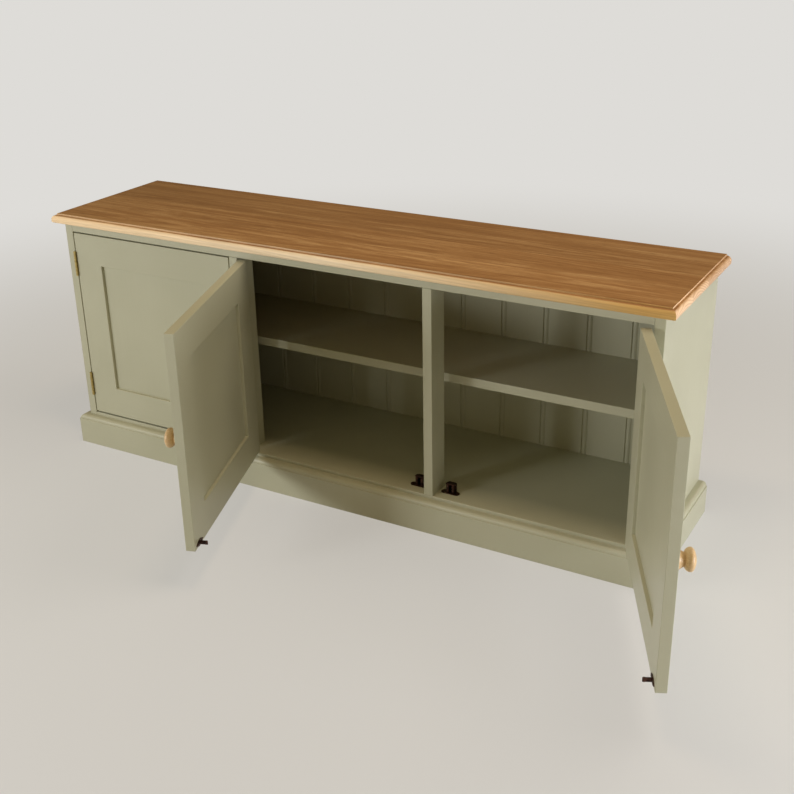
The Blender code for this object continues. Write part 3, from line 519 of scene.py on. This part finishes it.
def buildPlinth():
    look = plinthMoulding
    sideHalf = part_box("side_right")[1].x
    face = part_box("side_right")[0].y
    clear = look["mitreGap"]
    step = look["quirk"] + look["ovolo"]
    outwards = {"plinth_front": Vector((0, -1, 0)), "plinth_left": Vector((-1, 0, 0)),
                "plinth_right": Vector((1, 0, 0))}
    for name, outward in outwards.items():
        low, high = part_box(name)
        outer = low if name != "plinth_right" else high
        inner = outer - outward * look["fillet"]
        ledge = high.z - step
        bm = boxBmesh(low, Vector((high.x, high.y, ledge)))
        cutAcross(bm, inner, outward)
        wide = [item for item in bm.faces if item.normal.z > squareOn
                and (item.calc_center_median() - inner).dot(outward) < 0]
        raiseFaces(bm, wide, (0, 0, step))
        edge = edgesWhere(bm, lambda spot: spot.z > high.z - near
                          and abs((spot - inner).dot(outward)) < near)
        roundOver(bm, edge, look["ovolo"], look["ovoloSteps"])
        lip = edgesWhere(bm, lambda spot: abs(spot.z - ledge) < near
                         and (spot - outer).dot(outward) > -near)
        roundOver(bm, lip, look["arris"], look["arrisSteps"])
        for hand in (-1, 1):
            corner = Vector((hand * (sideHalf + clear), face - clear, 0))
            along = Vector((hand, 1, 0)).normalized()
            if name == "plinth_front":
                sliceOff(bm, corner - along * clear / 2, along)
            elif outward.x == hand:
                sliceOff(bm, corner + along * clear / 2, -along)
        finish = paint["lengthwise"] if name == "plinth_front" else paint["depthwise"]
        addPiece(name + "_moulded", bm, [finish], "carcass", [name])


buildPlinth()
print("plinth moulded")


# Turned knobs: a dome, a full round shoulder down to the neck, and a flare to a broad foot
turnedKnob = {"steps": 64, "curve": 14, "rim": 0.020, "neck": 0.01175, "foot": 0.018,
              "footDepth": 0.003, "waistDepth": 0.0105, "headDepth": 0.0098, "shoulder": 0.62,
              "flare": 1.2, "arris": 0.0005}


def buildKnobs():
    look = turnedKnob
    waist = look["footDepth"] + look["waistDepth"]
    widest = waist + look["headDepth"]
    head = look["rim"] - look["neck"]
    spread = look["foot"] - look["neck"]
    shares = [step / look["curve"] for step in range(look["curve"] + 1)]
    for door in doors:
        node = door + "_knob"
        low, high = doorBox(node, door)
        dome = high.y - low.y - widest
        # Radius and height above the foot, from the top of the dome down
        points = [(look["rim"] * math.sin(math.pi / 2 * share),
                   widest + dome * math.cos(math.pi / 2 * share)) for share in shares]
        points += [(look["neck"] + head * (1 - share ** 2) ** look["shoulder"],
                    widest - look["headDepth"] * share) for share in shares[1:]]
        points += [(look["neck"] + spread * share ** look["flare"],
                    waist - look["waistDepth"] * share) for share in shares[1:]]
        points += [(look["foot"], look["arris"]), (look["foot"] - look["arris"], 0.0), (0.0, 0.0)]
        bm = bmesh.new()
        chain = [bm.verts.new((radius, -height, 0)) for radius, height in points]
        edges = [bm.edges.new(pair) for pair in zip(chain, chain[1:])]
        bmesh.ops.spin(bm, geom=chain + edges, cent=(0, 0, 0), axis=(0, 1, 0), angle=2 * math.pi,
                       steps=look["steps"], use_merge=True)
        bmesh.ops.remove_doubles(bm, verts=bm.verts, dist=weld)
        centre = Vector(((low.x + high.x) / 2, high.y, (low.z + high.z) / 2))
        stand = doorSpace(door)[0] @ Matrix.Translation(centre)
        bmesh.ops.transform(bm, matrix=stand, verts=bm.verts)
        addPiece(door + "_turnedKnob", bm, [beech[door]], door, [node])


buildKnobs()
print("knobs turned")


# Door frames: stiles and rails under one coat of paint, so that no joint shows
doorFrame = {"arris": 0.0012, "steps": 3}


def buildDoorFrames():
    for door in doors:
        stiles = [doorBox(door + "_stile_hinge", door), doorBox(door + "_stile_free", door)]
        left, right = sorted(stiles, key=lambda box: box[0].x)
        bottom, top = doorBox(door + "_rail_bottom", door), doorBox(door + "_rail_top", door)
        low, high = left[0], right[1]
        bm = bmesh.new()
        corners = [(low.x, low.z), (high.x, low.z), (high.x, high.z), (low.x, high.z)]
        bm.faces.new([bm.verts.new((x, low.y, z)) for x, z in corners])
        for place in (left[1], right[0]):
            cutAcross(bm, place, (1, 0, 0))
        for place in (bottom[1], top[0]):
            cutAcross(bm, place, (0, 0, 1))
        across = [face for face in bm.faces
                  if left[1].x < face.calc_center_median().x < right[0].x]
        opening = [face for face in across
                   if bottom[1].z < face.calc_center_median().z < top[0].z]
        for face in across:
            face.material_index = 1  # the rails, brushed along their own length
        bmesh.ops.delete(bm, geom=opening, context="FACES")
        bmesh.ops.solidify(bm, geom=bm.faces[:], thickness=high.y - low.y)
        bmesh.ops.transform(bm, matrix=doorSpace(door)[0], verts=bm.verts)
        nodes = [door + end for end in ("_stile_hinge", "_stile_free", "_rail_bottom", "_rail_top")]
        piece = addPiece(door + "_frame", bm, [paint["upright"], paint[door]], door,
                         nodes)
        easeEdges(piece, doorFrame["arris"], doorFrame["steps"])


buildDoorFrames()
print("door frames joined")


# Smooth copies of the pressed metalwork, their sharp edges eased
easedMetal = {"arris": 0.00016, "steps": 2, "sharp": 44}


# A node's mesh, its corners merged and its flat faces whole
def mergedCopy(node):
    bm = bmesh.new()
    bm.from_mesh(frame["nodes"][node].data)
    bmesh.ops.remove_doubles(bm, verts=bm.verts, dist=weld)
    bmesh.ops.dissolve_limit(bm, angle_limit=math.radians(1), verts=bm.verts, edges=bm.edges)
    for face in bm.faces:
        face.material_index = 0
    return bm


def copyEased(node, finish, body):
    piece = addPiece(node + "_eased", mergedCopy(node), [finish], body, [node],
                     easedMetal["sharp"])
    easeEdges(piece, easedMetal["arris"], easedMetal["steps"])


def buildMetalwork():
    for door in doors:
        for level in ("upper", "lower"):
            copyEased("hinge_leaf_" + door + "_" + level, brass, "carcass")
            copyEased(door + "_leaf_" + level, brass, door)
        copyEased("catch_" + door, bronze, "carcass")
        copyEased(door + "_strike", bronze, door)
        for roller in ("roller_" + door + "_a", "roller_" + door + "_b"):
            copyEased(roller, bronze, roller)


buildMetalwork()
print("metalwork smoothed")


# Back: smooth beads, and the joints between the boards as shallow grooves in the rear
backBoards = {"groove": 0.0009, "depth": 0.0008, "sharp": 44, "rearSkin": 0.0001}


def buildBack():
    look = backBoards
    bm = mergedCopy("back_panel")
    rear = max(vert.co.y for vert in bm.verts)
    inside = [vert.co for vert in bm.verts if vert.co.y < rear - look["rearSkin"]]
    quirkFloor = max(place.y for place in inside)
    quirks = sorted({round(place.x, 5) for place in inside if place.y > quirkFloor - near})
    joints = quirks[::2]  # each bead stands between two quirks, the joint runs in the first
    half = look["groove"] / 2
    for joint in joints:
        for side in (joint - half, joint + half):
            cutAcross(bm, (side, 0, 0), (1, 0, 0))
    strips = [face for face in bm.faces if face.normal.y > squareOn
              and min(abs(face.calc_center_median().x - joint) for joint in joints) < half]
    raiseFaces(bm, strips, (0, -look["depth"], 0))
    addPiece("beadedBack", bm, [paint["upright"]], "carcass", ["back_panel"],
             look["sharp"])


buildBack()

# Slotted screws: flat heads sunk in the hinge leaves, low round heads on strikes and catches
slottedScrew = {"steps": 20, "slot": 0.0007, "slotDepth": 0.0005, "arris": 0.00012,
                "arrisSteps": 2, "firstTurn": 0.7, "turnStep": 1.9}
leafScrews = {"radius": 0.00262, "shank": 0.0014, "depth": 0.0012, "sunk": 0.0001,
              "halfGap": 0.0002, "edge": 0.0065, "end": 0.010, "stagger": 0.003}
strikeScrews = {"radius": 0.0021, "shank": 0.0018, "depth": 0.0012, "proud": 0.0007,
                "plate": 0.0015, "spread": 0.011}
catchScrews = {"radius": 0.0026, "shank": 0.0022, "depth": 0.0014, "proud": 0.0009,
               "plate": 0.0016, "earEnd": 0.005, "earRadius": 0.0075}


# One screw, its head's face on the ground and its shank below
def screwMesh(look):
    bm = bmesh.new()
    bmesh.ops.create_circle(bm, cap_ends=True, segments=slottedScrew["steps"],
                            radius=look["radius"])
    half = slottedScrew["slot"] / 2
    for side in (-1, 1):
        cutAcross(bm, (side * half, 0, 0), (1, 0, 0))
    rim = [edge for edge in bm.edges if edge.is_boundary]
    halves = [face for face in bm.faces if abs(face.calc_center_median().x) > half]
    lowered = bmesh.ops.extrude_edge_only(bm, edges=rim)
    foot = [item for item in lowered["geom"] if isinstance(item, bmesh.types.BMVert)]
    shrink = look["shank"] / look["radius"]
    bmesh.ops.scale(bm, vec=(shrink, shrink, 1), verts=foot)
    bmesh.ops.translate(bm, vec=(0, 0, slottedScrew["slotDepth"] - look["depth"]), verts=foot)
    bmesh.ops.contextual_create(bm, geom=[edge for edge in bm.edges if edge.is_boundary])
    for part in halves:
        raiseFaces(bm, [part], (0, 0, slottedScrew["slotDepth"]))
    bmesh.ops.translate(bm, vec=(0, 0, -slottedScrew["slotDepth"]), verts=bm.verts)
    bmesh.ops.recalc_face_normals(bm, faces=bm.faces)
    mesh = bpy.data.meshes.new("screw")
    bm.to_mesh(mesh)
    bm.free()
    return mesh


# Sets a screw at every place, each with its slot turned differently
def setScrews(name, look, places, finish, body):
    pattern = screwMesh(look)
    bm = bmesh.new()
    for index, (spot, away) in enumerate(places):
        stand = Vector(away).to_track_quat("Z", "Y").to_matrix().to_4x4()
        turn = slottedScrew["firstTurn"] + slottedScrew["turnStep"] * index
        screw = pattern.copy()
        screw.transform(Matrix.Translation(spot) @ stand @ Matrix.Rotation(turn, 4, "Z"))
        bm.from_mesh(screw)
        bpy.data.meshes.remove(screw)
    bpy.data.meshes.remove(pattern)
    piece = addPiece(name, bm, [finish], body)
    easeEdges(piece, slottedScrew["arris"], slottedScrew["arrisSteps"])


# Three screws in a leaf, seen in its hinge's own space
def leafPlaces(box, side, space):
    low, high = box
    face = side * (leafScrews["halfGap"] + leafScrews["sunk"])
    middle = (low.z + high.z) / 2
    reach = (high.z - low.z) / 2 - leafScrews["end"]
    row = high.y - leafScrews["edge"]
    spots = [(face, row, middle + reach), (face, row - leafScrews["stagger"], middle),
             (face, row, middle - reach)]
    away = space.to_3x3() @ Vector((-side, 0, 0))
    return [(space @ Vector(spot), away) for spot in spots]


def buildScrews():
    framePlaces = []
    catchPlaces = []
    for door in doors:
        space, hand = doorSpace(door)[:2]
        shift = space.to_translation()
        pin = Matrix.Translation(shift)
        doorPlaces = []
        for level in ("upper", "lower"):
            doorPlaces += leafPlaces(doorBox(door + "_leaf_" + level, door), hand, space)
            low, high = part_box("hinge_leaf_" + door + "_" + level)
            framePlaces += leafPlaces((low - shift, high - shift), -hand, pin)
        setScrews(door + "_leafScrews", leafScrews, doorPlaces, brass, door)
        low, high = doorBox(door + "_strike", door)
        face = low.y + strikeScrews["plate"] + strikeScrews["proud"]
        centre = Vector(((low.x + high.x) / 2, face, (low.z + high.z) / 2))
        inward = space.to_3x3() @ Vector((0, 1, 0))
        strikePlaces = [(space @ (centre + Vector((side * strikeScrews["spread"], 0, 0))), inward)
                        for side in (-1, 1)]
        setScrews(door + "_strikeScrews", strikeScrews, strikePlaces, bronze, door)
        low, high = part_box("catch_" + door)
        level = low.z + catchScrews["plate"] + catchScrews["proud"]
        row = low.y + catchScrews["earRadius"]
        ears = (low.x + catchScrews["earEnd"], high.x - catchScrews["earEnd"])
        catchPlaces += [(Vector((ear, row, level)), Vector((0, 0, 1))) for ear in ears]
    setScrews("frameLeafScrews", leafScrews, framePlaces, brass, "carcass")
    setScrews("catchScrews", catchScrews, catchPlaces, bronze, "carcass")


buildScrews()
print("screws set")

# Stage, lights and camera
studio = {
    "floor": "#D5D6D6",
    "floorRoughness": 0.8,
    "floorGloss": 0.2,
    "floorHalf": 40.0,
    "floorDrop": 0.0004,  # keeps the floor clear of the plinth's underside
    "horizon": "#DEDCD8",
    "fade": (0.9, 3.0),  # the floor pales to the horizon between these distances
    "nearPale": 0.5,
    "backdropFade": (0.0, 0.06),  # reflections see the backdrop dim upwards, between these heights
    "ambient": "#FFE4AC",
    "ambientStrength": 0.245,
    "lens": 53.07,
    "sensor": 36.0,
    "cameraPlace": (1.2873, -2.1282, 1.2983),
    "cameraTurn": (1.1529, 0.0181, 0.5128),
    # name, place, aim, size, power, colour
    "lamps": [
        ("keyFront", (-1.5, -2.8, 1.05), (0.0, -0.2, 0.3), (0.7, 0.7), 31, "#FFFFFF"),
        ("keyLeft", (-2.4, -2.3, 1.05), (0.0, -0.2, 0.3), (0.7, 0.7), 11, "#FFFFFF"),
        ("windowRight", (2.7, -0.45, 0.45), (0.5, -0.3, 0.30), (0.8, 0.6), 28, "#F9F9FF"),
        ("windowRear", (2.6, 0.4, 0.6), (0.5, 0.0, 0.30), (1.0, 0.5), 6, "#F9F9FF"),
        ("overheadRear", (1.3, 0.3, 2.3), (0.3, 0.0, 0.4), (1.4, 1.0), 14.5, "#FFF6EA"),
        ("overheadFront", (0.2, -0.45, 2.5), (0.2, -0.35, 0.4), (0.5, 0.3), 9, "#FFE2BC"),
    ],
}


# 1 for the rays that show the background, 0 for the rays that light the cabinet
def backgroundRays(tree):
    path = addNode(tree, "LightPath").outputs
    seen = addNode(tree, "Math", {0: path["Is Camera Ray"], 1: path["Is Glossy Ray"]},
                   operation="MAXIMUM")
    seen = addNode(tree, "Math", {0: seen.outputs[0], 1: path["Is Transmission Ray"]},
                   operation="MAXIMUM")
    return seen.outputs[0]


def floorMaterial():
    material, tree, shader = startMaterial("paleFloor")
    shader.inputs["Base Color"].default_value = hexColour(studio["floor"])
    shader.inputs["Roughness"].default_value = studio["floorRoughness"]
    shader.inputs["Specular IOR Level"].default_value = studio["floorGloss"]
    place = addNode(tree, "TexCoord").outputs["Object"]
    reach = addNode(tree, "VectorMath", {0: place}, operation="LENGTH")
    fade = (*studio["fade"], studio["nearPale"], 1.0)
    fade = addNode(tree, "MapRange", {"Value": reach.outputs["Value"],
                                      **dict(enumerate(fade, 1))},
                   interpolation_type="SMOOTHSTEP")
    share = addNode(tree, "Math", {0: fade.outputs[0], 1: backgroundRays(tree)},
                    operation="MULTIPLY")
    glow = addNode(tree, "Emission", {"Color": hexColour(studio["horizon"]), "Strength": 1.0})
    both = addNode(tree, "MixShader", {0: share.outputs[0], 1: shader.outputs[0],
                                       2: glow.outputs[0]})
    tree.links.new(both.outputs[0], tree.nodes["Material Output"].inputs["Surface"])
    return material


def studioWorld():
    world = bpy.data.worlds.new("studioWorld")
    world.use_nodes = True
    tree = world.node_tree
    ambient = tree.nodes["Background"]
    ambient.inputs["Color"].default_value = hexColour(studio["ambient"])
    ambient.inputs["Strength"].default_value = studio["ambientStrength"]
    height = addNode(tree, "SeparateXYZ", {0: addNode(tree, "TexCoord").outputs["Generated"]})
    fade = (*studio["backdropFade"], 1.0, 0.0)
    pale = addNode(tree, "MapRange", {"Value": height.outputs["Z"],
                                      **dict(enumerate(fade, 1))},
                   interpolation_type="SMOOTHSTEP")
    share = addNode(tree, "Math", {0: pale.outputs[0], 1: backgroundRays(tree)},
                    operation="MULTIPLY")
    # The camera sees the pale backdrop at every height
    camera = addNode(tree, "LightPath").outputs["Is Camera Ray"]
    share = addNode(tree, "Math", {0: share.outputs[0], 1: camera}, operation="MAXIMUM")
    horizon = addNode(tree, "Background", {"Color": hexColour(studio["horizon"]),
                                           "Strength": 1.0})
    both = addNode(tree, "MixShader", {0: share.outputs[0], 1: ambient.outputs[0],
                                       2: horizon.outputs[0]})
    tree.links.new(both.outputs[0], tree.nodes["World Output"].inputs["Surface"])
    return world


def buildStudio():
    scene = bpy.context.scene
    bm = bmesh.new()
    bmesh.ops.create_grid(bm, x_segments=1, y_segments=1, size=studio["floorHalf"])
    bmesh.ops.translate(bm, vec=(0, 0, -studio["floorDrop"]), verts=bm.verts)
    mesh = bpy.data.meshes.new("floor")
    bm.to_mesh(mesh)
    bm.free()
    mesh.materials.append(floorMaterial())
    floor = bpy.data.objects.new("floor", mesh)
    scene.collection.objects.link(floor)
    for name, place, aim, size, power, colour in studio["lamps"]:
        light = bpy.data.lights.new(name, "AREA")
        light.shape = "RECTANGLE"
        light.size, light.size_y = size
        light.energy = power
        light.color = hexColour(colour)[:3]
        lamp = bpy.data.objects.new(name, light)
        lamp.location = place
        lamp.rotation_euler = (Vector(aim) - Vector(place)).to_track_quat("-Z", "Y").to_euler()
        scene.collection.objects.link(lamp)
    scene.world = studioWorld()
    lens = bpy.data.cameras.new("camera")
    lens.lens = studio["lens"]
    lens.sensor_width = studio["sensor"]
    camera = bpy.data.objects.new("camera", lens)
    camera.location = studio["cameraPlace"]
    camera.rotation_euler = studio["cameraTurn"]
    scene.collection.objects.link(camera)
    scene.camera = camera
    scene.view_settings.view_transform = "Standard"


buildStudio()
print("studio set")
